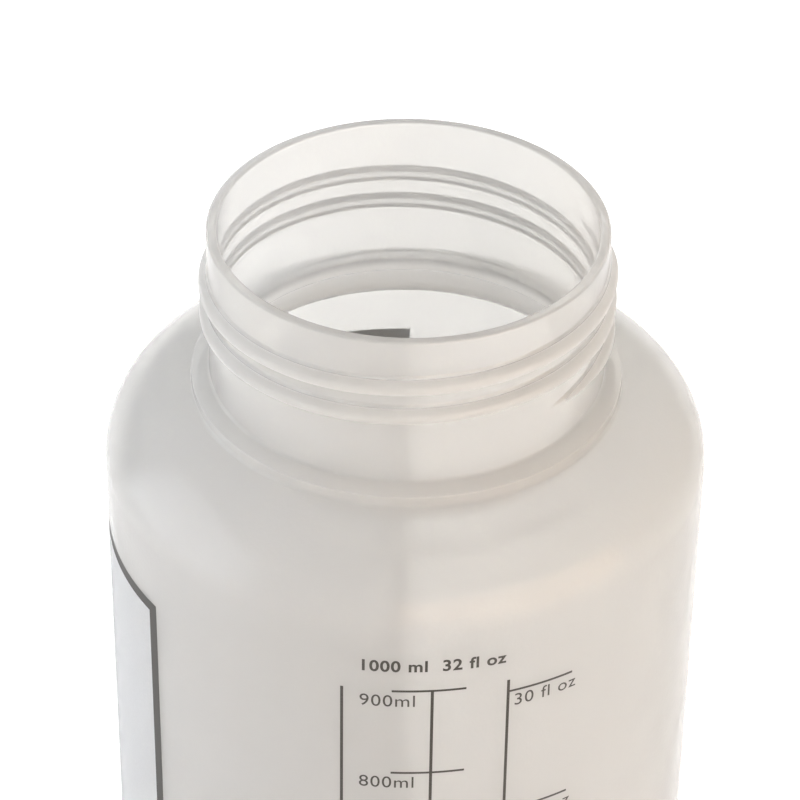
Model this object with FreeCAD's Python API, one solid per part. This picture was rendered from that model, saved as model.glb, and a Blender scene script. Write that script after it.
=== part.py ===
import FreeCAD
import Part

import math
import os

# A one-litre wide-mouth storage bottle, blow moulded in one piece.
# Millimetres, +Z up. The origin is on the axis, in the plane the bottle stands on.
# The front, where the graduations are printed, faces -Y.

# Overall size
overall_height = 198.0
body_outer_diameter = 92.2

# Walls
body_wall = 1.4
base_wall = 2.4

# Screw finish of the neck, nominal size 63
neck_outer_diameter = 59.8
neck_bore_diameter = 56.6
rim_edge_chamfer = 0.35

# Screw thread, right-handed, heights measured down from the rim
thread_crest_diameter = 62.4
thread_pitch = 5.0
thread_turns = 2.25
thread_first_root_depth = 18.1
thread_start_angle = 36.0
thread_run_out_angle = 40.0
thread_crest_width = 0.95
thread_lower_flank_rise = 0.26
thread_upper_flank_rise = 1.50
thread_root_sink = 0.45
thread_end_sink = 0.15
thread_tip_width = 0.05

# Ring between the neck and the shoulder
ring_outer_diameter = 65.2
ring_ledge_depth = 24.5
ring_ledge_slope = 20.0
ring_foot_depth = 27.2
ring_edge_chamfer = 0.25
ring_root_chamfer = 0.6

# Shoulder, seen from outside: a wide crown arc that runs into a tighter corner arc
shoulder_start_slope = 15.4
shoulder_corner_slope = 47.5
shoulder_corner_radius = 10.0

# Inside of the neck and shoulder
bore_depth = 27.2
bore_relief = 0.35
neck_root_depth = 29.6
neck_root_radius = 3.5
ceiling_slope = 4.0
cavity_corner_radius = 9.0
floor_corner_radius = 6.0
inner_corner_chords = 2

# Base
heel_radius = 6.0
heel_bevel_slope = 45.0
standing_ring_outer_diameter = 82.0
standing_ring_width = 3.0
push_up_height = 2.2
push_up_slope = 40.0


def point(radius, height):
    """Place a profile point in the XZ plane."""
    return FreeCAD.Vector(radius, 0.0, height)


class Outline:
    """A chain of straight runs and arcs in the XZ plane, drawn from its first point on."""

    def __init__(self, radius, height):
        self.first = point(radius, height)
        self.last = self.first
        self.edges = []

    def line_to(self, radius, height):
        """Draw a straight run to a point, unless the outline is there already."""
        target = point(radius, height)
        if target.distanceToPoint(self.last) > 1e-6:
            self.edges.append(Part.LineSegment(self.last, target).toShape())
            self.last = target

    def arc(self, centre, arc_radius, angle_from, angle_to):
        """Draw an arc about a centre, after a straight run to its first point."""
        start, middle, end = points_on_arc(centre, arc_radius, angle_from, angle_to, 2)
        self.line_to(start.x, start.z)
        self.edges.append(Part.Arc(self.last, middle, end).toShape())
        self.last = end

    def chords(self, centre, arc_radius, angle_from, angle_to):
        """Draw a corner of the inside, which the blown wall rounds freely, as a few chords."""
        spots = points_on_arc(centre, arc_radius, angle_from, angle_to, inner_corner_chords)
        for spot in spots:
            self.line_to(spot.x, spot.z)

    def wire(self):
        """Close the outline with a straight run and return it as a wire."""
        self.line_to(self.first.x, self.first.z)
        return Part.Wire(self.edges)


def points_on_arc(centre, arc_radius, angle_from, angle_to, steps):
    """List the points that divide an arc about a centre into equal steps, with both its ends."""
    spots = []
    for index in range(steps + 1):
        turn = math.radians(angle_from + (angle_to - angle_from) * index / steps)
        spots.append(centre + point(arc_radius * math.cos(turn), arc_radius * math.sin(turn)))
    return spots


def standing_ring():
    """Give the inner and outer radius of the flat ring the bottle stands on."""
    outside = 0.5 * standing_ring_outer_diameter
    return outside - standing_ring_width, outside


def push_up_radius():
    """Give the radius of the raised flat in the middle of the base."""
    return standing_ring()[0] - push_up_height / math.tan(math.radians(push_up_slope))


def draw_outer_base(outline):
    """Draw the push-up, the standing ring and the heel, from the axis outwards."""
    ring_inside, ring_outside = standing_ring()
    outline.line_to(push_up_radius(), push_up_height)
    outline.line_to(ring_inside, 0.0)
    outline.line_to(ring_outside, 0.0)
    # A straight bevel rises from the ring to the arc that turns it upright into the side.
    slope = math.radians(heel_bevel_slope)
    arc_foot = 0.5 * body_outer_diameter - heel_radius * (1.0 - math.sin(slope))
    bevel_rise = (arc_foot - ring_outside) * math.tan(slope)
    arc_centre = point(0.5 * body_outer_diameter - heel_radius, bevel_rise + heel_radius * math.cos(slope))
    outline.arc(arc_centre, heel_radius, heel_bevel_slope - 90.0, 0.0)


def draw_outer_shoulder(outline):
    """Draw the side of the body and the two arcs of the shoulder, up to the foot of the ring."""
    body_radius = 0.5 * body_outer_diameter
    ring_radius = 0.5 * ring_outer_diameter
    start = math.radians(shoulder_start_slope)
    corner = math.radians(shoulder_corner_slope)
    corner_run = shoulder_corner_radius * (1.0 - math.sin(corner))
    crown_radius = (body_radius - ring_radius - corner_run) / (math.sin(corner) - math.sin(start))
    foot = point(ring_radius, overall_height - ring_foot_depth)
    crown_centre = foot - point(math.sin(start), math.cos(start)) * crown_radius
    meeting = crown_centre + point(math.sin(corner), math.cos(corner)) * crown_radius
    corner_centre = meeting - point(math.sin(corner), math.cos(corner)) * shoulder_corner_radius
    outline.arc(corner_centre, shoulder_corner_radius, 0.0, 90.0 - shoulder_corner_slope)
    outline.arc(crown_centre, crown_radius, 90.0 - shoulder_corner_slope, 90.0 - shoulder_start_slope)


def draw_outer_neck(outline):
    """Draw the ring with its sloping ledge, the plain neck and the outer edge of the rim."""
    neck_radius = 0.5 * neck_outer_diameter
    ring_radius = 0.5 * ring_outer_diameter
    slope = math.radians(ring_ledge_slope)
    ledge_height = overall_height - ring_ledge_depth
    edge_height = ledge_height - (ring_radius - neck_radius) * math.tan(slope)
    outline.line_to(ring_radius, edge_height - ring_edge_chamfer)
    outline.line_to(ring_radius - ring_edge_chamfer, edge_height + ring_edge_chamfer * math.tan(slope))
    outline.line_to(neck_radius + ring_root_chamfer, ledge_height - ring_root_chamfer * math.tan(slope))
    outline.line_to(neck_radius, ledge_height + ring_root_chamfer)
    outline.line_to(neck_radius, overall_height - rim_edge_chamfer)
    outline.line_to(neck_radius - rim_edge_chamfer, overall_height)


def draw_bore(outline):
    """Draw the inner edge of the rim, the smooth bore and the rounded root of the neck."""
    bore_radius = 0.5 * neck_bore_diameter
    relief_radius = bore_radius + bore_relief
    bore_end = overall_height - bore_depth
    outline.line_to(bore_radius + rim_edge_chamfer, overall_height)
    outline.line_to(bore_radius, overall_height - rim_edge_chamfer)
    outline.line_to(bore_radius, bore_end)
    outline.line_to(relief_radius, bore_end - bore_relief)
    root_centre = point(relief_radius + neck_root_radius, overall_height - neck_root_depth)
    outline.chords(root_centre, neck_root_radius, 180.0, 270.0 - ceiling_slope)


def draw_cavity(outline):
    """Draw the ceiling, the wall and the floor of the inside, down to the axis."""
    slope = math.radians(ceiling_slope)
    upright = point(math.sin(slope), math.cos(slope))
    wall_radius = 0.5 * body_outer_diameter - body_wall
    # The corner at the top of the wall touches the ceiling, which runs on from the neck's root.
    centre_radius = wall_radius - cavity_corner_radius
    centre_across = outline.last.dot(upright) - cavity_corner_radius
    centre_height = (centre_across - centre_radius * upright.x) / upright.z
    corner_centre = point(centre_radius, centre_height)
    outline.chords(corner_centre, cavity_corner_radius, 90.0 - ceiling_slope, 0.0)
    floor_centre = point(wall_radius - floor_corner_radius, base_wall + floor_corner_radius)
    outline.chords(floor_centre, floor_corner_radius, 0.0, -90.0)
    outline.line_to(standing_ring()[0], base_wall)
    outline.line_to(push_up_radius(), base_wall + push_up_height)
    outline.line_to(0.0, base_wall + push_up_height)


def make_wall():
    """Revolve the whole section of the bottle about its axis."""
    outline = Outline(0.0, push_up_height)
    draw_outer_base(outline)
    draw_outer_shoulder(outline)
    draw_outer_neck(outline)
    draw_bore(outline)
    draw_cavity(outline)
    section = Part.Face(outline.wire())
    wall = section.revolve(point(0.0, 0.0), FreeCAD.Vector(0.0, 0.0, 1.0), 360.0)
    return Part.makeSolid(wall) if wall.ShapeType == "Shell" else wall


def thread_fullness(angle):
    """Give the share of its full section that the thread has at an angle along it."""
    total = 360.0 * thread_turns
    nearest_end = min(angle, total - angle)
    share = min(1.0, max(0.0, nearest_end / thread_run_out_angle))
    return share * share * (3.0 - 2.0 * share)


def thread_section(angle):
    """Make the thread's section at an angle along it, sunk a little into the neck wall."""
    neck_radius = 0.5 * neck_outer_diameter
    height_of_thread = 0.5 * thread_crest_diameter - neck_radius
    size = thread_fullness(angle)
    # Towards its ends the thread shrinks, and its last section lies wholly inside the wall.
    crest = size * (height_of_thread + thread_end_sink) - thread_end_sink
    lower_slope = thread_lower_flank_rise / height_of_thread
    upper_slope = thread_upper_flank_rise / height_of_thread
    lower_crest = max(0.0, crest) * lower_slope
    upper_crest = lower_crest + max(thread_tip_width, size * thread_crest_width)
    upper_root = upper_crest + max(0.0, crest) * upper_slope
    sink = thread_root_sink
    corners = [
        (-sink, min(0.0, crest) * lower_slope - sink * lower_slope),
        (crest, lower_crest),
        (crest, upper_crest),
        (-sink, upper_root + sink * upper_slope),
    ]
    root_height = overall_height - thread_first_root_depth + thread_pitch * angle / 360.0
    # The front is -Y, and the thread climbs to the right as seen from there.
    turn = math.radians(thread_start_angle + angle - 90.0)
    spots = []
    for outwards, upwards in corners:
        radius = neck_radius + outwards
        spots.append(
            FreeCAD.Vector(radius * math.cos(turn), radius * math.sin(turn), root_height + upwards)
        )
    return Part.makePolygon(spots + spots[:1])


def make_thread():
    """Loft the thread through its sections, from its lower end to its upper end."""
    step = 10.0
    total = 360.0 * thread_turns
    count = int(round(total / step))
    sections = [thread_section(total * index / count) for index in range(count + 1)]
    return Part.makeLoft(sections, True, False)


def make_bottle():
    """Make the bottle: the wall and the thread on its neck, in one piece."""
    return make_wall().fuse(make_thread())


def write_parts():
    """Write each piece to its own STEP file."""
    os.makedirs("parts", exist_ok=True)
    bottle = make_bottle()
    print("bottle: valid", bottle.isValid(), "solids", len(bottle.Solids), "volume", bottle.Volume)
    bottle.exportStep("parts/bottle.step")


write_parts()
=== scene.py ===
"""A one-litre wide-mouth storage bottle of milky polyethylene, with its printed scale and panel."""

import logging
import math
from dataclasses import dataclass, field
from enum import Enum
from typing import Any

import bpy
from mathutils import Matrix, Vector


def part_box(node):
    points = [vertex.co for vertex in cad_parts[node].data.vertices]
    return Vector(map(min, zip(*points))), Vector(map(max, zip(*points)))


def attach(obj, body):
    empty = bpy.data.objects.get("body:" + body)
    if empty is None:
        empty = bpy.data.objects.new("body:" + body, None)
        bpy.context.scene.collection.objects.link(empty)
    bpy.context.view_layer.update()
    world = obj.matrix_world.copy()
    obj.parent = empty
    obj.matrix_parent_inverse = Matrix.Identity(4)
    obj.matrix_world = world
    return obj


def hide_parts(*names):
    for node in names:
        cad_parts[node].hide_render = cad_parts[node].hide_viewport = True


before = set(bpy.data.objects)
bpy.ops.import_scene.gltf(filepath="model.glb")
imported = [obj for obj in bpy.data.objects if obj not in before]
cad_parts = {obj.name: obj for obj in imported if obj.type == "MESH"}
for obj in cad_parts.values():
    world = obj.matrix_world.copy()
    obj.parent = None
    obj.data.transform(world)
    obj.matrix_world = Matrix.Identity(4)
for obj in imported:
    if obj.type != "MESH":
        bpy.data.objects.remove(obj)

log = logging.getLogger("bottle")

FULL_TURN = 2.0 * math.pi
CUBIC_MM_PER_ML = 1000.0
# Points nearer to each other than this are one point.
MERGE_DISTANCE = 0.002
# The body stays this much inside its solid, so that the ink on it has room.
PRINT_ROOM = 0.03


def mm(length: float) -> float:
    """Turn millimetres into Blender's metres."""
    return 0.001 * length


def srgb(code: str) -> tuple[float, float, float, float]:
    """Turn an sRGB hex colour into the linear one that shaders take.

    Args:
        code: six hex digits, such as "f2efe8".

    Returns:
        Linear red, green, blue and an alpha of one.
    """
    channels = [int(code[at : at + 2], 16) / 255.0 for at in (0, 2, 4)]
    linear = [c / 12.92 if c <= 0.04045 else ((c + 0.055) / 1.055) ** 2.4 for c in channels]
    return (linear[0], linear[1], linear[2], 1.0)


def add_node(
    tree: bpy.types.NodeTree, kind: str, settings: dict[str, Any], inputs: dict[Any, Any]
) -> bpy.types.Node:
    """Add one node to a tree, with its settings and links.

    Args:
        tree: the tree that takes the node.
        kind: the node's type name.
        settings: values of the node's own properties.
        inputs: for each input by name or number, a value or the output socket that feeds it.

    Returns:
        The new node.
    """
    node = tree.nodes.new(kind)
    for name, value in settings.items():
        setattr(node, name, value)
    for name, value in inputs.items():
        if isinstance(value, bpy.types.NodeSocket):
            tree.links.new(value, node.inputs[name])
        else:
            node.inputs[name].default_value = value
    return node


def clear_selection() -> None:
    """Leave edit mode and deselect every object."""
    if bpy.context.object is not None and bpy.context.object.mode == "EDIT":
        bpy.ops.object.mode_set(mode="OBJECT")
    bpy.ops.object.select_all(action="DESELECT")


def pick(*pieces: bpy.types.Object) -> None:
    """Select these pieces alone.

    Args:
        pieces: the pieces, the first of which becomes active.
    """
    clear_selection()
    for piece in pieces:
        piece.select_set(True)
    bpy.context.view_layer.objects.active = pieces[0]


def apply_modifier(piece: bpy.types.Object, kind: str, settings: dict[str, Any]) -> None:
    """Add a modifier to a piece and apply it.

    Args:
        piece: the piece that is shaped.
        kind: the modifier's type name.
        settings: values of the modifier's properties.
    """
    pick(piece)
    modifier = piece.modifiers.new(kind.lower(), kind)
    for name, value in settings.items():
        setattr(modifier, name, value)
    bpy.ops.object.modifier_apply(modifier=modifier.name)


@dataclass(frozen=True)
class Corner:
    """A corner of an outline in the XZ plane, in millimetres."""

    across: float
    up: float
    rounding: float = 0.0

    def place(self) -> Vector:
        """Give the corner's place in metres."""
        return Vector((mm(self.across), 0.0, mm(self.up)))


class Outline:
    """An outline in the XZ plane, drawn in edit mode by pulling one point along it."""

    degrees_per_step = 5.0
    fewest_steps = 3

    def __init__(self, name: str, first: Corner) -> None:
        """Put down the first point.

        Args:
            name: the name of the piece that the outline becomes.
            first: where the outline starts.
        """
        clear_selection()
        bpy.ops.mesh.primitive_plane_add(size=mm(1.0))
        self.piece = bpy.context.object
        self.piece.name = name
        bpy.ops.object.mode_set(mode="EDIT")
        bpy.ops.mesh.merge(type="CENTER")
        self.at = Vector((0.0, 0.0, 0.0))
        self.start = first
        bpy.ops.transform.translate(value=first.place())
        self.at = first.place()

    def line_to(self, target: Vector) -> None:
        """Pull the point straight to a target, unless it is there already.

        Args:
            target: the place to reach, in metres.
        """
        if (target - self.at).length > mm(0.001):
            bpy.ops.mesh.extrude_region_move(TRANSFORM_OT_translate={"value": target - self.at})
            self.at = target.copy()

    def round_corner(self, before: Vector, corner: Corner, after: Vector) -> None:
        """Pull the point round a corner on an arc that touches both its sides.

        Args:
            before: the corner, or point, that comes before it.
            corner: the corner and its rounding.
            after: the corner, or point, that comes after it.
        """
        tip = corner.place()
        back = (before - tip).normalized()
        ahead = (after - tip).normalized()
        half_opening = 0.5 * back.angle(ahead)
        radius = mm(corner.rounding)
        self.line_to(tip + back * radius / math.tan(half_opening))
        centre = tip + (back + ahead).normalized() * radius / math.sin(half_opening)
        turn = math.pi - 2.0 * half_opening
        steps = max(self.fewest_steps, math.ceil(math.degrees(turn) / self.degrees_per_step))
        # The turn is about an axis square to the outline. With no window, spin turns the other way.
        axis = (-back).cross(ahead).normalized()
        bpy.ops.mesh.spin(steps=steps, angle=-turn, center=centre, axis=axis)
        self.at = centre + Matrix.Rotation(turn, 3, axis) @ (self.at - centre)

    def draw(self, corners: list[Corner]) -> None:
        """Draw on through corners, the last of which is the end.

        Args:
            corners: the corners in order, after the first point.
        """
        chain = [self.start, *corners]
        for before, corner, after in zip(chain, chain[1:], chain[2:]):
            if corner.rounding > 0.0:
                self.round_corner(before.place(), corner, after.place())
            else:
                self.line_to(corner.place())
        self.line_to(corners[-1].place())

    def close(self) -> None:
        """Join the last point to the first and leave edit mode."""
        bpy.ops.mesh.select_all(action="SELECT")
        bpy.ops.mesh.remove_doubles(threshold=mm(MERGE_DISTANCE))
        bpy.ops.object.mode_set(mode="OBJECT")

    def spin_round(self, steps: int) -> bpy.types.Object:
        """Spin the outline about the Z axis into a closed body.

        Args:
            steps: how many steps the full turn has.

        Returns:
            The piece, with its faces pointing outwards.
        """
        bpy.ops.mesh.select_all(action="SELECT")
        bpy.ops.mesh.spin(steps=steps, angle=FULL_TURN, center=(0.0, 0.0, 0.0), axis=(0.0, 0.0, 1.0))
        bpy.ops.mesh.select_all(action="SELECT")
        bpy.ops.mesh.remove_doubles(threshold=mm(MERGE_DISTANCE))
        bpy.ops.mesh.normals_make_consistent(inside=False)
        bpy.ops.object.mode_set(mode="OBJECT")
        return self.piece


@dataclass(frozen=True)
class ThickStretch:
    """A stretch of the wall that is thick, between two heights and two radii in millimetres.

    It differs from the thin wall in clearness, in roughness, which blurs what shows through it, and in
    painted shade: a share of the plastic's colour, painted darker where the plastic looks darker in the
    light.
    """

    foot: float
    top: float
    inner: float
    outer: float
    blend: float
    clearness: float
    roughness: float
    painted_shade: float

    def add_fullness(
        self, tree: bpy.types.NodeTree, height: bpy.types.NodeSocket, radius: bpy.types.NodeSocket
    ) -> bpy.types.NodeSocket:
        """Tell how far a point is within the stretch.

        Args:
            tree: the material's tree.
            height: the point's height.
            radius: its distance from the bottle's axis.

        Returns:
            One inside the stretch, nothing outside it, and a blend between.
        """
        edges = (
            (height, self.foot, self.foot + self.blend),
            (height, self.top, self.top - self.blend),
            (radius, self.inner, self.inner + self.blend),
            (radius, self.outer, self.outer - self.blend),
        )
        fullness: Any = 1.0
        for value, outside, within in edges:
            share = add_node(
                tree,
                "ShaderNodeMapRange",
                {"interpolation_type": "SMOOTHSTEP"},
                {"Value": value, "From Min": mm(outside), "From Max": mm(within)},
            )
            factors = {0: fullness, 1: share.outputs["Result"]}
            both = add_node(tree, "ShaderNodeMath", {"operation": "MULTIPLY"}, factors)
            fullness = both.outputs["Value"]
        return fullness


@dataclass(frozen=True)
class MilkyPolyethylene:
    """Low-density polyethylene, blow moulded and unpigmented.

    The wall lets light through and scatters part of it, so what is close behind it shows clearly and
    what is further off is lost in a white veil. The thread's colour is darkened as painted shade, so it
    looks greyer, and it blurs what is behind it, and the thick root of the neck is milky right through. The
    outside has the satin gloss of the mould, with the shallow unevenness of a blown wall. Lengths are in
    millimetres.
    """

    colour: str = "fffefb"
    uneven_colour: str = "faf9f5"
    deep_colour: str = "c4c3c0"
    absorption_per_metre: float = 15.0
    clearness: float = 0.58
    neck_root: ThickStretch = ThickStretch(
        foot=156.0, top=173.2, inner=0.0, outer=31.2, blend=2.0, clearness=0.02, roughness=0.13, painted_shade=1.0
    )
    # The thread's colour is cut to three quarters as painted shade, for the darker look that it has in the
    # light.
    thread: ThickStretch = ThickStretch(
        foot=176.0, top=197.0, inner=29.95, outer=50.0, blend=0.5, clearness=0.5, roughness=0.4, painted_shade=0.75
    )
    scatter_depth: float = 25.0
    roughness: float = 0.13
    index: float = 1.5
    wave_length: float = 22.0
    wave_strength: float = 0.05
    wave_detail: float = 1.0
    grain_length: float = 0.8
    grain_strength: float = 0.02
    grain_detail: float = 1.0

    def vary(self, tree: bpy.types.NodeTree, place: bpy.types.NodeSocket) -> dict[str, Any]:
        """Change the look where the wall is thick, at the neck's root and on the thread.

        Args:
            tree: the material's tree.
            place: the point on the piece.

        Returns:
            The clearness, roughness and painted shade at that point.
        """
        split = add_node(tree, "ShaderNodeSeparateXYZ", {}, {"Vector": place})
        flat = add_node(tree, "ShaderNodeCombineXYZ", {}, {"X": split.outputs["X"], "Y": split.outputs["Y"]})
        reach = add_node(
            tree, "ShaderNodeVectorMath", {"operation": "LENGTH"}, {"Vector": flat.outputs["Vector"]}
        )
        look: dict[str, Any] = {"clearness": self.clearness, "roughness": self.roughness, "painted_shade": 1.0}
        for stretch in (self.neck_root, self.thread):
            fullness = stretch.add_fullness(tree, split.outputs["Z"], reach.outputs["Value"])
            for name, thin in look.items():
                between = {"Value": fullness, "To Min": thin, "To Max": getattr(stretch, name)}
                look[name] = add_node(tree, "ShaderNodeMapRange", {}, between).outputs["Result"]
        return look

    def make(self) -> bpy.types.Material:
        """Build the material.

        Returns:
            The material, with its nodes.
        """
        material = bpy.data.materials.new("blown_milky_polyethylene")
        material.use_nodes = True
        tree = material.node_tree
        tree.nodes.clear()
        place = add_node(tree, "ShaderNodeTexCoord", {}, {}).outputs["Object"]
        waves = add_node(
            tree,
            "ShaderNodeTexNoise",
            {},
            {"Vector": place, "Scale": 1.0 / mm(self.wave_length), "Detail": self.wave_detail},
        )
        grain = add_node(
            tree,
            "ShaderNodeTexNoise",
            {},
            {"Vector": place, "Scale": 1.0 / mm(self.grain_length), "Detail": self.grain_detail},
        )
        wavy = add_node(
            tree,
            "ShaderNodeBump",
            {},
            {
                "Height": waves.outputs["Fac"],
                "Strength": self.wave_strength,
                "Distance": mm(self.wave_length),
            },
        )
        grained = add_node(
            tree,
            "ShaderNodeBump",
            {},
            {
                "Height": grain.outputs["Fac"],
                "Strength": self.grain_strength,
                "Distance": mm(self.grain_length),
                "Normal": wavy.outputs["Normal"],
            },
        )
        colour = add_node(tree, "ShaderNodeValToRGB", {}, {"Fac": waves.outputs["Fac"]})
        colour.color_ramp.elements[0].color = srgb(self.uneven_colour)
        colour.color_ramp.elements[1].color = srgb(self.colour)
        look = self.vary(tree, place)
        # The plastic's colour is darkened here by the painted shade, most on the thread.
        painted_shade_colour = add_node(
            tree,
            "ShaderNodeVectorMath",
            {"operation": "SCALE"},
            {0: colour.outputs["Color"], "Scale": look["painted_shade"]},
        )
        skin = add_node(
            tree,
            "ShaderNodeBsdfPrincipled",
            {},
            {
                "Base Color": painted_shade_colour.outputs["Vector"],
                "Roughness": look["roughness"],
                "IOR": self.index,
                "Transmission Weight": look["clearness"],
                "Subsurface Weight": 1.0,
                "Subsurface Radius": (1.0, 1.0, 1.0),
                "Subsurface Scale": mm(self.scatter_depth),
                "Normal": grained.outputs["Normal"],
            },
        )
        depth = add_node(
            tree,
            "ShaderNodeVolumeAbsorption",
            {},
            {"Color": srgb(self.deep_colour), "Density": self.absorption_per_metre},
        )
        add_node(
            tree,
            "ShaderNodeOutputMaterial",
            {},
            {"Surface": skin.outputs["BSDF"], "Volume": depth.outputs["Volume"]},
        )
        return material


@dataclass(frozen=True)
class PrintInk:
    """Screen-printed ink, matt and slightly uneven where the mesh of the screen left it thin."""

    name: str
    dark: str
    light: str
    clearness: float = 0.0
    index: float = 1.5
    roughness: float = 0.55
    roughness_spread: float = 0.08
    screen_pitch: float = 0.35
    screen_detail: float = 2.0
    thin_below: float = 0.3
    full_above: float = 0.7

    def make(self) -> bpy.types.Material:
        """Build the material.

        Returns:
            The material, with its nodes.
        """
        material = bpy.data.materials.new(self.name)
        material.use_nodes = True
        tree = material.node_tree
        tree.nodes.clear()
        place = add_node(tree, "ShaderNodeTexCoord", {}, {}).outputs["Object"]
        mesh = add_node(
            tree,
            "ShaderNodeTexNoise",
            {},
            {"Vector": place, "Scale": 1.0 / mm(self.screen_pitch), "Detail": self.screen_detail},
        )
        colour = add_node(tree, "ShaderNodeValToRGB", {}, {"Fac": mesh.outputs["Fac"]})
        colour.color_ramp.elements[0].position = self.thin_below
        colour.color_ramp.elements[0].color = srgb(self.dark)
        colour.color_ramp.elements[1].position = self.full_above
        colour.color_ramp.elements[1].color = srgb(self.light)
        rough = add_node(
            tree,
            "ShaderNodeMapRange",
            {},
            {
                "Value": mesh.outputs["Fac"],
                "To Min": self.roughness - self.roughness_spread,
                "To Max": self.roughness + self.roughness_spread,
            },
        )
        ink = add_node(
            tree,
            "ShaderNodeBsdfPrincipled",
            {},
            {
                "Base Color": colour.outputs["Color"],
                "Roughness": rough.outputs["Result"],
                "IOR": self.index,
                "Transmission Weight": self.clearness,
            },
        )
        add_node(tree, "ShaderNodeOutputMaterial", {}, {"Surface": ink.outputs["BSDF"]})
        return material


@dataclass
class ScrewThread:
    """The screw thread on the neck, in millimetres and degrees."""

    crest_height: float = 1.3
    pitch: float = 5.0
    turns: float = 2.25
    first_root_depth: float = 18.1
    start_angle: float = 36.0
    run_out_angle: float = 40.0
    crest_width: float = 0.95
    lower_rise: float = 0.26
    upper_rise: float = 1.5
    lower_crest_rounding: float = 0.1
    upper_crest_rounding: float = 1.4
    lower_root_rounding: float = 0.05
    upper_root_rounding: float = 1.6
    root_skim: float = 0.06
    root_sink: float = 0.3
    end_sink: float = 0.12
    lower_end_width: float = 0.45
    least_size: float = 0.02
    steps_per_turn: int = 144

    def section(self, neck_radius: float) -> list[Corner]:
        """List the corners of the ridge's section, from its lower root round and back to it.

        Args:
            neck_radius: the outer radius of the plain neck.

        Returns:
            The corners, with the ridge's lower root at height zero.
        """
        inside = neck_radius - self.root_sink
        # The roots lie just under the neck's surface, so that no two faces coincide.
        skin = neck_radius - self.root_skim
        crest = neck_radius + self.crest_height
        upper_crest = self.lower_rise + self.crest_width
        upper_root = upper_crest + self.upper_rise
        return [
            Corner(skin, 0.0, self.lower_root_rounding),
            Corner(crest, self.lower_rise, self.lower_crest_rounding),
            Corner(crest, upper_crest, self.upper_crest_rounding),
            Corner(skin, upper_root, self.upper_root_rounding),
            Corner(skin, upper_root + self.root_sink),
            Corner(inside, upper_root + self.root_sink),
            Corner(inside, -self.root_sink),
        ]

    def make(self, neck_radius: float, rim_height: float) -> bpy.types.Object:
        """Screw the section up the neck and let it fade out at both ends.

        Args:
            neck_radius: the outer radius of the plain neck.
            rim_height: the height of the rim.

        Returns:
            The closed ridge, a little sunk into the neck.
        """
        foot = rim_height - self.first_root_depth
        raised = [Corner(c.across, c.up + foot, c.rounding) for c in self.section(neck_radius)]
        below = Corner(neck_radius - self.root_skim, foot - self.root_sink)
        outline = Outline("thread_ridge", below)
        outline.draw([*raised, below])
        outline.close()
        ridge = outline.piece
        points = len(ridge.data.vertices)
        steps = round(self.turns * self.steps_per_turn)
        apply_modifier(
            ridge,
            "SCREW",
            {
                "angle": FULL_TURN * self.turns,
                "screw_offset": mm(self.pitch * self.turns),
                "steps": steps,
                "render_steps": steps,
                "use_merge_vertices": False,
            },
        )
        for vertex in ridge.data.vertices:
            self.fade(vertex, vertex.index // points, steps, neck_radius, foot)
        ridge.rotation_euler.z = math.radians(self.start_angle - 90.0)
        pick(ridge)
        bpy.ops.object.transform_apply(location=False, rotation=True, scale=False)
        bpy.ops.object.mode_set(mode="EDIT")
        bpy.ops.mesh.select_all(action="SELECT")
        bpy.ops.mesh.fill_holes(sides=0)
        bpy.ops.mesh.select_all(action="SELECT")
        bpy.ops.mesh.normals_make_consistent(inside=False)
        bpy.ops.object.mode_set(mode="OBJECT")
        return ridge

    def fade(
        self, vertex: bpy.types.MeshVertex, step: int, steps: int, neck_radius: float, foot: float
    ) -> None:
        """Shrink a point of the ridge towards its root near either end.

        Args:
            vertex: the point to move.
            step: the point's step along the ridge.
            steps: how many steps the ridge has.
            neck_radius: the outer radius of the plain neck.
            foot: the height of the ridge's lower root at its start.
        """
        nearest = min(step, steps - step) * 360.0 / self.steps_per_turn
        share = min(1.0, nearest / self.run_out_angle)
        size = max(self.least_size, share * share * (3.0 - 2.0 * share))
        root_height = mm(foot + self.pitch * step / self.steps_per_turn)
        outwards = Vector((vertex.co.x, vertex.co.y, 0.0))
        standing = outwards.length - mm(neck_radius)
        radius = mm(neck_radius) + size * standing - (1.0 - size) * mm(self.end_sink)
        placed = outwards.normalized() * radius
        # At its lower end the ridge sinks into the neck faster than it narrows, so it ends blunt.
        least = self.lower_end_width if 2 * step < steps else 0.0
        placed.z = root_height + (least + (1.0 - least) * size) * (vertex.co.z - root_height)
        vertex.co = placed


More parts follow.
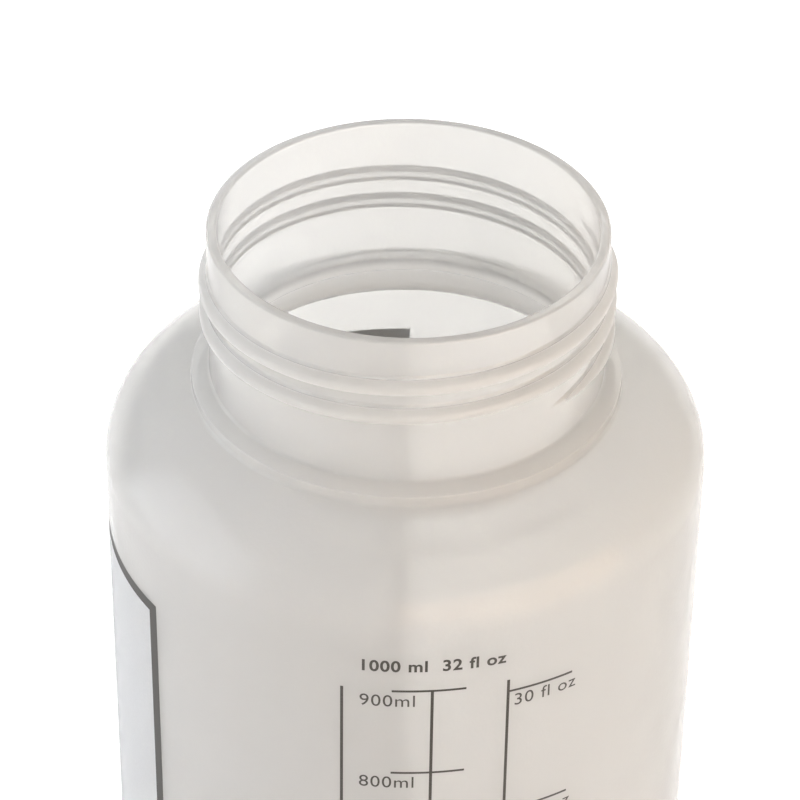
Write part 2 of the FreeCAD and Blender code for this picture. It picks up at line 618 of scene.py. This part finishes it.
@dataclass
class Bottle:
    """The blow-moulded bottle, from its rim to its base, in millimetres and degrees."""

    height: float
    body_radius: float
    finish: MilkyPolyethylene = field(default_factory=MilkyPolyethylene)
    thread: ScrewThread = field(default_factory=ScrewThread)
    body_wall: float = 1.4
    base_wall: float = 2.4
    neck_radius: float = 29.9
    bore_radius: float = 28.3
    rim_rounding: float = 0.45
    ring_radius: float = 32.6
    ring_foot_depth: float = 27.2
    ledge_depth: float = 24.5
    ledge_slope: float = 20.0
    ledge_edge_rounding: float = 0.12
    ledge_root_rounding: float = 0.7
    ring_foot_rounding: float = 0.7
    shoulder_start_slope: float = 15.4
    shoulder_corner_slope: float = 47.5
    shoulder_corner_radius: float = 10.0
    bore_depth: float = 27.2
    bore_relief: float = 0.35
    neck_root_depth: float = 32.86
    neck_root_radius: float = 3.5
    ceiling_slope: float = 4.0
    cavity_corner_radius: float = 9.0
    floor_corner_radius: float = 6.0
    heel_rounding: float = 6.0
    heel_slope: float = 45.0
    standing_ring_radius: float = 41.0
    standing_ring_width: float = 3.0
    standing_ring_rounding: float = 1.2
    push_up_height: float = 2.2
    push_up_slope: float = 40.0
    push_up_rounding: float = 2.5
    steps_round: int = 256
    crease_angle: float = 10.0

    def outer_base(self) -> list[Corner]:
        """List the corners of the push-up, the standing ring and the heel.

        Returns:
            The corners, from the axis outwards.
        """
        ring_inside = self.standing_ring_radius - self.standing_ring_width
        push_up_run = self.push_up_height / math.tan(math.radians(self.push_up_slope))
        slope = math.radians(self.heel_slope)
        # The corner where the heel's bevel would meet the side.
        heel_height = (self.body_radius - self.standing_ring_radius) * math.tan(slope)
        return [
            Corner(ring_inside - push_up_run, self.push_up_height, self.push_up_rounding),
            Corner(ring_inside, 0.0, self.standing_ring_rounding),
            Corner(self.standing_ring_radius, 0.0, self.standing_ring_rounding),
            Corner(self.body_radius, heel_height, self.heel_rounding),
        ]

    def outer_shoulder(self) -> list[Corner]:
        """List the corners of the shoulder's two arcs and the foot of the ring.

        Returns:
            The corners, upwards.
        """
        start = math.radians(self.shoulder_start_slope)
        turn = math.radians(self.shoulder_corner_slope)
        foot_height = self.height - self.ring_foot_depth
        # The crown ends where the rounding at the ring's foot begins.
        foot_reach = self.ring_foot_rounding * math.tan(0.5 * (0.5 * math.pi - start))
        crown_end = self.ring_radius + foot_reach * math.cos(start)
        corner_run = self.shoulder_corner_radius * (1.0 - math.sin(turn))
        crown_radius = (self.body_radius - crown_end - corner_run) / (math.sin(turn) - math.sin(start))
        # Each arc is the rounding of the corner where the lines that touch its two ends meet.
        crown_reach = crown_radius * math.tan(0.5 * (turn - start))
        corner_reach = self.shoulder_corner_radius * math.tan(0.5 * (0.5 * math.pi - turn))
        crown_across = crown_end + crown_reach * math.cos(start)
        crown_up = foot_height - (foot_reach + crown_reach) * math.sin(start)
        corner_up = crown_up - (crown_reach + corner_reach) * math.sin(turn)
        return [
            Corner(self.body_radius, corner_up, self.shoulder_corner_radius),
            Corner(crown_across, crown_up, crown_radius),
            Corner(self.ring_radius, foot_height, self.ring_foot_rounding),
        ]

    def outer_neck(self) -> list[Corner]:
        """List the corners of the ring's ledge, the plain neck and the rim.

        Returns:
            The corners, upwards and then inwards.
        """
        ledge_root = self.height - self.ledge_depth
        ledge_fall = (self.ring_radius - self.neck_radius) * math.tan(math.radians(self.ledge_slope))
        return [
            Corner(self.ring_radius, ledge_root - ledge_fall, self.ledge_edge_rounding),
            Corner(self.neck_radius, ledge_root, self.ledge_root_rounding),
            Corner(self.neck_radius, self.height, self.rim_rounding),
            Corner(self.bore_radius, self.height, self.rim_rounding),
        ]

    def inside(self) -> list[Corner]:
        """List the corners of the bore, the inside of the body and the floor.

        Returns:
            The corners, down to the axis.
        """
        bore_end = self.height - self.bore_depth
        relief_radius = self.bore_radius + self.bore_relief
        wall_radius = self.body_radius - self.body_wall
        neck_root = self.height - self.neck_root_depth
        fall = (wall_radius - relief_radius) * math.tan(math.radians(self.ceiling_slope))
        ring_inside = self.standing_ring_radius - self.standing_ring_width
        push_up_run = self.push_up_height / math.tan(math.radians(self.push_up_slope))
        floor = self.base_wall + self.push_up_height
        return [
            Corner(self.bore_radius, bore_end, self.bore_relief),
            Corner(relief_radius, bore_end - self.bore_relief, self.bore_relief),
            Corner(relief_radius, neck_root, self.neck_root_radius),
            Corner(wall_radius, neck_root - fall, self.cavity_corner_radius),
            Corner(wall_radius, self.base_wall, self.floor_corner_radius),
            Corner(ring_inside, self.base_wall, self.standing_ring_rounding),
            Corner(ring_inside - push_up_run, floor, self.push_up_rounding),
            Corner(0.0, floor),
        ]

    def make(self) -> bpy.types.Object:
        """Spin the bottle's section, join the thread to it and dress it.

        Returns:
            The finished bottle.
        """
        outline = Outline("milky_bottle", Corner(0.0, self.push_up_height))
        outline.draw([*self.outer_base(), *self.outer_shoulder(), *self.outer_neck(), *self.inside()])
        bottle = outline.spin_round(self.steps_round)
        ridge = self.thread.make(self.neck_radius, self.height)
        apply_modifier(bottle, "BOOLEAN", {"operation": "UNION", "object": ridge, "solver": "EXACT"})
        bpy.data.objects.remove(ridge)
        bottle.data.materials.clear()
        bottle.data.materials.append(self.finish.make())
        pick(bottle)
        bpy.ops.object.shade_smooth_by_angle(angle=math.radians(self.crease_angle))
        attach(bottle, "root")
        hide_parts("bottle")
        return bottle


class PrintLayer:
    """A layer of ink, drawn flat in the XZ plane and then laid round the body.

    X is the distance round the body from the front, and Z is the height, both in millimetres.
    """

    ink_thickness = 0.012
    ink_gap = 0.006
    score_spacing = 1.0
    # The height of a capital as a share of the type's size.
    capital_share = 0.729
    letter_spacing = 1.09
    curve_steps = 6
    crease_angle = 30.0

    def __init__(self, name: str) -> None:
        """Start with no print.

        Args:
            name: the name of the finished layer.
        """
        self.name = name
        self.pieces: list[bpy.types.Object] = []

    def bar(self, left: float, right: float, bottom: float, top: float) -> bpy.types.Object:
        """Add a rectangle of ink.

        Args:
            left: distance of its left side from the front.
            right: distance of its right side from the front.
            bottom: height of its lower edge.
            top: height of its upper edge.

        Returns:
            The flat rectangle.
        """
        clear_selection()
        bpy.ops.mesh.primitive_plane_add(size=1.0, rotation=(0.5 * math.pi, 0.0, 0.0))
        bpy.ops.object.transform_apply(location=False, rotation=True, scale=False)
        bar = bpy.context.object
        bpy.ops.object.mode_set(mode="EDIT")
        bpy.ops.transform.resize(value=(mm(right - left), 1.0, mm(top - bottom)))
        bpy.ops.transform.translate(value=(mm(0.5 * (left + right)), 0.0, mm(0.5 * (bottom + top))))
        bpy.ops.object.mode_set(mode="OBJECT")
        self.pieces.append(bar)
        return bar

    def reading(
        self, words: str, left: float, baseline: float, capital: float, weight: float
    ) -> bpy.types.Object:
        """Add a number, with its unit, in plain upright figures.

        Args:
            words: the number and unit.
            left: distance of its left end from the front.
            baseline: height of the line that it stands on.
            capital: height of its figures.
            weight: how far its strokes are thickened, as a share of the figures' height.

        Returns:
            The flat figures.
        """
        clear_selection()
        bpy.ops.object.text_add(rotation=(0.5 * math.pi, 0.0, 0.0))
        text = bpy.context.object
        text.data.body = words
        text.data.size = mm(capital) / self.capital_share
        text.data.offset = mm(capital) * weight
        text.data.space_character = self.letter_spacing
        text.data.resolution_u = self.curve_steps
        bpy.ops.object.convert(target="MESH")
        text = bpy.context.object
        text.location = (mm(left), 0.0, mm(baseline))
        pick(text)
        bpy.ops.object.transform_apply(location=True, rotation=True, scale=True)
        self.pieces.append(text)
        return text

    def finish(self, body_radius: float, ink: bpy.types.Material) -> bpy.types.Object:
        """Join the print, give it its thickness and lay it round the body.

        Args:
            body_radius: the body's outer radius.
            ink: the ink's material.

        Returns:
            The finished layer.
        """
        pick(*self.pieces)
        if len(self.pieces) > 1:
            bpy.ops.object.join()
        layer = bpy.context.object
        layer.name = self.name
        bpy.ops.object.mode_set(mode="EDIT")
        bpy.ops.mesh.select_all(action="SELECT")
        bpy.ops.mesh.remove_doubles(threshold=mm(MERGE_DISTANCE))
        self.score(layer)
        bpy.ops.object.mode_set(mode="OBJECT")
        apply_modifier(layer, "SOLIDIFY", {"thickness": mm(self.ink_thickness), "offset": 1.0})
        for vertex in layer.data.vertices:
            angle = vertex.co.x / mm(body_radius)
            radius = mm(body_radius + self.ink_gap) - vertex.co.y
            vertex.co = Vector((radius * math.sin(angle), -radius * math.cos(angle), vertex.co.z))
        layer.data.materials.clear()
        layer.data.materials.append(ink)
        pick(layer)
        bpy.ops.object.shade_smooth_by_angle(angle=math.radians(self.crease_angle))
        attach(layer, "root")
        return layer

    def score(self, layer: bpy.types.Object) -> None:
        """Cut the flat print across at even steps, so that it can follow the body's round.

        Args:
            layer: the flat print, in edit mode.
        """
        # The points are up to date only in object mode.
        bpy.ops.object.mode_set(mode="OBJECT")
        across = [vertex.co.x for vertex in layer.data.vertices]
        bpy.ops.object.mode_set(mode="EDIT")
        cuts = math.ceil((max(across) - min(across)) / mm(self.score_spacing))
        for cut in range(1, cuts):
            place = min(across) + (max(across) - min(across)) * cut / cuts
            bpy.ops.mesh.select_all(action="SELECT")
            bpy.ops.mesh.bisect(plane_co=(place, 0.0, 0.0), plane_no=(1.0, 0.0, 0.0))


class Unit(Enum):
    """The unit that a printed scale counts in, with millilitres for one of it."""

    MILLILITRE = 1.0
    FLUID_OUNCE = 29.574


@dataclass
class VolumeScale:
    """One printed scale: an upright line with a tick and a number at each step."""

    unit: Unit
    label: str
    top_reading: int
    step: int
    line_angle: float
    tick_from_angle: float
    tick_to_angle: float
    label_angle: float
    label_drop: float = 3.15
    line_width: float = 0.45
    tick_width: float = 0.38
    figure_height: float = 2.3
    line_foot: float = 14.0
    full_volume: float = 900.0

    def draw(self, layer: PrintLayer, bottle: Bottle, full_mark: float) -> None:
        """Draw the scale's line, ticks and numbers into a layer of ink.

        Args:
            layer: the layer that takes the print.
            bottle: the bottle that it is printed on.
            full_mark: the height of the top line, up to which the bottle holds the full volume.
        """
        per_degree = math.radians(bottle.body_radius)
        bore_area = math.pi * (bottle.body_radius - bottle.body_wall) ** 2
        line = self.line_angle * per_degree
        layer.bar(line - 0.5 * self.line_width, line + 0.5 * self.line_width, self.line_foot, full_mark)
        for reading in range(self.top_reading, 0, -self.step):
            missing = self.full_volume - reading * self.unit.value
            height = full_mark - CUBIC_MM_PER_ML * missing / bore_area
            left = self.tick_from_angle * per_degree
            right = self.tick_to_angle * per_degree
            layer.bar(left, right, height - self.tick_width, height)
            words = f"{reading}{self.label}"
            label_left = self.label_angle * per_degree
            layer.reading(words, label_left, height - self.label_drop, self.figure_height, 0.0)


@dataclass
class PrintedFront:
    """Everything printed on the bottle's body."""

    dark_ink: PrintInk = PrintInk("dark_screen_ink", "2c2926", "3a3733")
    # The panel's ink is so thin that light comes through it.
    white_ink: PrintInk = PrintInk("white_write_on_ink", "ecedee", "f4f5f6", clearness=0.8, index=1.2)
    millilitres: VolumeScale = field(
        default_factory=lambda: VolumeScale(Unit.MILLILITRE, "ml", 900, 100, 5.47, -1.92, 11.71, -7.9)
    )
    ounces: VolumeScale = field(
        default_factory=lambda: VolumeScale(Unit.FLUID_OUNCE, " fl oz", 30, 5, 19.7, 19.7, 32.9, 20.8)
    )
    full_mark_depth: float = 50.5
    heading: str = "1000 ml  32 fl oz"
    heading_angle: float = -8.0
    heading_depth: float = 46.95
    heading_height: float = 2.1
    heading_weight: float = 0.032
    left_line_angle: float = -11.05
    panel_from_angle: float = -180.7
    panel_to_angle: float = -53.5
    panel_top_depth: float = 50.9
    panel_foot: float = 24.0
    border_width: float = 1.9

    def make_scale(self, bottle: Bottle, ink: bpy.types.Material) -> bpy.types.Object:
        """Print the heading and the two scales.

        Args:
            bottle: the bottle that they are printed on.
            ink: the dark ink.

        Returns:
            The finished print.
        """
        layer = PrintLayer("volume_scale")
        full_mark = bottle.height - self.full_mark_depth
        per_degree = math.radians(bottle.body_radius)
        for scale in (self.millilitres, self.ounces):
            scale.draw(layer, bottle, full_mark)
        side = self.left_line_angle * per_degree
        half_line = 0.5 * self.millilitres.line_width
        layer.bar(side - half_line, side + half_line, self.millilitres.line_foot, full_mark)
        layer.reading(
            self.heading,
            self.heading_angle * per_degree,
            bottle.height - self.heading_depth,
            self.heading_height,
            self.heading_weight,
        )
        printed = layer.finish(bottle.body_radius, ink)
        return printed

    def make_panel(
        self, bottle: Bottle, white: bpy.types.Material, dark: bpy.types.Material
    ) -> tuple[bpy.types.Object, bpy.types.Object]:
        """Print the write-on panel and its border.

        Args:
            bottle: the bottle that they are printed on.
            white: the panel's ink.
            dark: the border's ink.

        Returns:
            The finished panel and its border.
        """
        per_degree = math.radians(bottle.body_radius)
        left = self.panel_from_angle * per_degree
        right = self.panel_to_angle * per_degree
        border = PrintLayer("panel_border")
        frame_piece = border.bar(left, right, self.panel_foot, bottle.height - self.panel_top_depth)
        pick(frame_piece)
        bpy.ops.object.mode_set(mode="EDIT")
        bpy.ops.mesh.select_all(action="SELECT")
        bpy.ops.mesh.inset(thickness=mm(self.border_width))
        bpy.ops.mesh.separate(type="SELECTED")
        bpy.ops.object.mode_set(mode="OBJECT")
        field_piece = next(piece for piece in bpy.context.selected_objects if piece is not frame_piece)
        panel = PrintLayer("write_on_panel")
        panel.pieces.append(field_piece)
        dark_piece = border.finish(bottle.body_radius, dark)
        white_piece = panel.finish(bottle.body_radius, white)
        return white_piece, dark_piece


@dataclass(frozen=True)
class SoftBox:
    """An upright soft box that faces the bottle's axis, in metres.

    Its brightness is a share of the full white that the studio's walls have.
    """

    name: str
    middle: tuple[float, float, float]
    size: tuple[float, float]
    brightness: float
    colour: str

    def hang(self) -> None:
        """Hang the soft box."""
        clear_selection()
        bpy.ops.object.light_add(type="AREA", location=self.middle)
        lamp = bpy.context.object
        lamp.name = self.name
        lamp.data.shape = "RECTANGLE"
        lamp.data.size, lamp.data.size_y = self.size
        lamp.data.energy = math.pi * self.size[0] * self.size[1] * self.brightness
        lamp.data.color = srgb(self.colour)[:3]
        facing = Vector((-self.middle[0], -self.middle[1], 0.0))
        lamp.rotation_euler = facing.to_track_quat("-Z", "Y").to_euler()


@dataclass
class Studio:
    """The pale floor, the soft lights and the camera."""

    floor_size: float = 6.0
    floor_colour: str = "f8f9fa"
    floor_glow: float = 0.36
    floor_roughness: float = 0.9
    floor_grain_length: float = 2.5
    floor_grain_depth: float = 0.2
    floor_grain_strength: float = 0.02
    left_wall_colour: str = "f8fbff"
    right_wall_colour: str = "fff9f0"
    front_strength: float = 1.175
    back_strength: float = 0.665
    boxes: tuple[SoftBox, ...] = (
        SoftBox("left_soft_box", (-0.52, -0.055, 0.335), (0.61, 0.57), 1.4, "f4f8ff"),
        SoftBox("right_soft_box", (0.42, -0.52, 0.23), (1.2, 0.46), 1.45, "ffd3a2"),
    )
    light_bounces: int = 7
    matt_bounces: int = 3
    focal_length: float = 159.73
    sensor_width: float = 36.0
    look_down: float = 36.485
    roll: float = 0.809
    camera_side: float = -0.924
    camera_back: float = 435.834
    camera_above_rim: float = 290.280

    def make_floor(self) -> None:
        """Lay the floor, a sheet of opal acrylic with a fine satin grain, lit from below."""
        clear_selection()
        bpy.ops.mesh.primitive_plane_add(size=self.floor_size)
        floor = bpy.context.object
        floor.name = "floor"
        material = bpy.data.materials.new("opal_acrylic_lit_from_below")
        material.use_nodes = True
        tree = material.node_tree
        tree.nodes.clear()
        place = add_node(tree, "ShaderNodeTexCoord", {}, {}).outputs["Object"]
        grain_scale = 1.0 / mm(self.floor_grain_length)
        grain = add_node(tree, "ShaderNodeTexNoise", {}, {"Vector": place, "Scale": grain_scale})
        bump = add_node(
            tree,
            "ShaderNodeBump",
            {},
            {
                "Height": grain.outputs["Fac"],
                "Strength": self.floor_grain_strength,
                "Distance": mm(self.floor_grain_depth),
            },
        )
        sheet = add_node(
            tree,
            "ShaderNodeBsdfPrincipled",
            {},
            {
                "Base Color": srgb(self.floor_colour),
                "Roughness": self.floor_roughness,
                "Normal": bump.outputs["Normal"],
                "Emission Color": srgb("ffffff"),
                "Emission Strength": self.floor_glow,
            },
        )
        add_node(tree, "ShaderNodeOutputMaterial", {}, {"Surface": sheet.outputs["BSDF"]})
        floor.data.materials.append(material)

    def make_sky(self) -> None:
        """Fill the studio with white light, cooler on the left, warmer on the right, dimmer behind."""
        world = bpy.data.worlds.new("studio")
        world.use_nodes = True
        tree = world.node_tree
        tree.nodes.clear()
        towards = add_node(tree, "ShaderNodeTexCoord", {}, {}).outputs["Generated"]
        split = add_node(tree, "ShaderNodeSeparateXYZ", {}, {"Vector": towards})
        across = add_node(
            tree, "ShaderNodeMapRange", {}, {"Value": split.outputs["X"], "From Min": -1.0, "From Max": 1.0}
        )
        strength = add_node(
            tree,
            "ShaderNodeMapRange",
            {},
            {
                "Value": split.outputs["Y"],
                "From Min": -1.0,
                "From Max": 1.0,
                "To Min": self.front_strength,
                "To Max": self.back_strength,
            },
        )
        colour = add_node(tree, "ShaderNodeValToRGB", {}, {"Fac": across.outputs["Result"]})
        colour.color_ramp.elements[0].color = srgb(self.left_wall_colour)
        colour.color_ramp.elements[1].color = srgb(self.right_wall_colour)
        light = add_node(
            tree,
            "ShaderNodeBackground",
            {},
            {"Color": colour.outputs["Color"], "Strength": strength.outputs["Result"]},
        )
        add_node(tree, "ShaderNodeOutputWorld", {}, {"Surface": light.outputs["Background"]})
        bpy.context.scene.world = world

    def make_camera(self, rim_height: float) -> None:
        """Set the camera where the photograph was taken from.

        Args:
            rim_height: the height of the bottle's rim in millimetres.
        """
        camera = bpy.data.objects.new("camera", bpy.data.cameras.new("camera"))
        bpy.context.collection.objects.link(camera)
        camera.data.lens = self.focal_length
        camera.data.sensor_width = self.sensor_width
        camera.data.clip_start = 0.01
        place = Vector((mm(self.camera_side), -mm(self.camera_back), mm(rim_height + self.camera_above_rim)))
        tilt = Matrix.Rotation(math.radians(90.0 - self.look_down), 4, "X")
        roll = Matrix.Rotation(math.radians(self.roll), 4, "Z")
        camera.matrix_world = Matrix.Translation(place) @ tilt @ roll
        bpy.context.scene.camera = camera

    def make(self, rim_height: float) -> None:
        """Set up the whole studio.

        Args:
            rim_height: the height of the bottle's rim in millimetres.
        """
        self.make_floor()
        self.make_sky()
        for box in self.boxes:
            box.hang()
        self.make_camera(rim_height)
        scene = bpy.context.scene
        scene.view_settings.view_transform = "Standard"
        # Light crosses the milky wall many times before it comes out.
        scene.cycles.max_bounces = self.light_bounces
        scene.cycles.transmission_bounces = self.light_bounces
        scene.cycles.diffuse_bounces = self.matt_bounces


def main() -> None:
    """Build the bottle, its print and the studio, and note the sizes."""
    logging.basicConfig(level=logging.INFO, format="%(name)s: %(message)s")
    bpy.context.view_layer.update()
    low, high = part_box("bottle")
    body_radius = 1000.0 * min(high[0], high[1]) - PRINT_ROOM
    bottle = Bottle(height=1000.0 * high[2], body_radius=body_radius)
    piece = bottle.make()
    log.info("%s: %d faces", piece.name, len(piece.data.polygons))
    front = PrintedFront()
    dark_ink = front.dark_ink.make()
    white_ink = front.white_ink.make()
    scale = front.make_scale(bottle, dark_ink)
    log.info("%s: %d faces", scale.name, len(scale.data.polygons))
    for printed in front.make_panel(bottle, white_ink, dark_ink):
        log.info("%s: %d faces", printed.name, len(printed.data.polygons))
    Studio().make(bottle.height)


if __name__ == "__main__":
    main()
